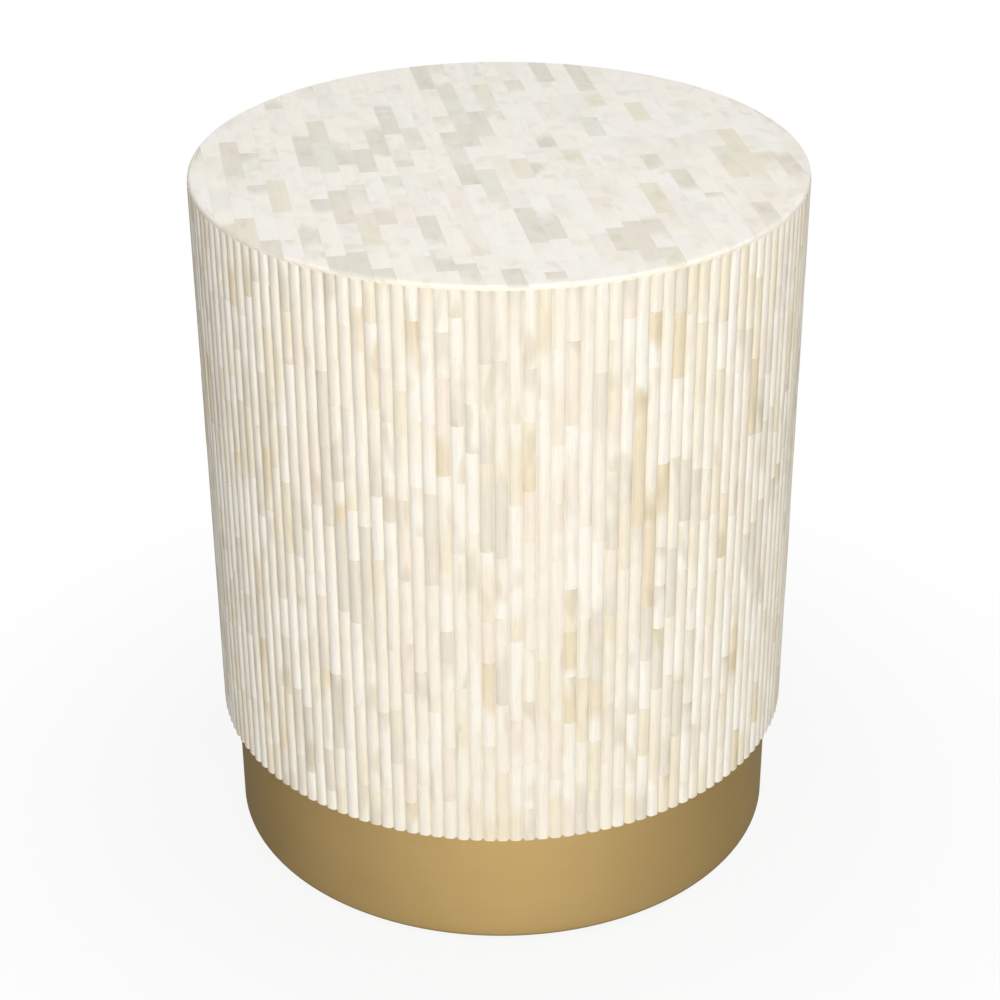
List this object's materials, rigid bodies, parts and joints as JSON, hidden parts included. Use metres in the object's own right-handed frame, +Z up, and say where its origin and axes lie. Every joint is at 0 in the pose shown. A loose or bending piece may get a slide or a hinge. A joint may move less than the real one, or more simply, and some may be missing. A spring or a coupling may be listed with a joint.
{
  "type": "side table",
  "caption": "Round drum side table: half-round bone reeds and a staggered bone tile top on a hollow ply drum, raised on a satin brass plinth.",
  "frame": {"origin": "on the floor under the middle of the table", "axes": "+Z up, -Y towards the viewer of the pictured front"},
  "size_m": [0.4, 0.4, 0.483],
  "materials": {
    "bone_reed": "polished bone, satin",
    "bone_tile": "polished bone, satin",
    "brass": "satin brass sheet",
    "bending_ply": "bare bending ply",
    "board": "bare fibre board",
    "pine": "planed softwood",
    "steel": "zinc plated",
    "felt": "pressed wool felt"
  },
  "bodies": {
    "root": {"base_screws": "steel", "bone_reeds_01": "bone_reed", "bone_reeds_02": "bone_reed", "bone_reeds_03": "bone_reed", "bone_reeds_04": "bone_reed", "bone_reeds_05": "bone_reed", "bone_reeds_06": "bone_reed", "bone_reeds_07": "bone_reed", "bone_reeds_08": "bone_reed", "bone_reeds_09": "bone_reed", "bone_reeds_10": "bone_reed", "bone_reeds_11": "bone_reed", "bone_reeds_12": "bone_reed", "bone_tiles_01": "bone_tile", "bone_tiles_02": "bone_tile", "bone_tiles_03": "bone_tile", "bone_tiles_04": "bone_tile", "bone_tiles_05": "bone_tile", "bone_tiles_06": "bone_tile", "bone_tiles_07": "bone_tile", "bone_tiles_08": "bone_tile", "bone_tiles_09": "bone_tile", "bone_tiles_10": "bone_tile", "bone_tiles_11": "bone_tile", "brass_skirt": "brass", "drum_bottom_board": "board", "drum_former_ring": "board", "drum_inner_ply": "bending_ply", "drum_outer_ply": "bending_ply", "drum_top_board": "board", "drum_upright_1": "pine", "drum_upright_2": "pine", "drum_upright_3": "pine", "drum_upright_4": "pine", "drum_upright_5": "pine", "drum_upright_6": "pine", "felt_pad_1": "felt", "felt_pad_2": "felt", "felt_pad_3": "felt", "felt_pad_4": "felt", "plinth_base_board": "board", "plinth_block_1": "pine", "plinth_block_2": "pine", "plinth_block_3": "pine", "plinth_block_4": "pine", "plinth_block_5": "pine", "plinth_block_6": "pine", "plinth_screws": "steel", "plinth_top_board": "board", "plinth_wall": "bending_ply"}
  },
  "joints": []
}
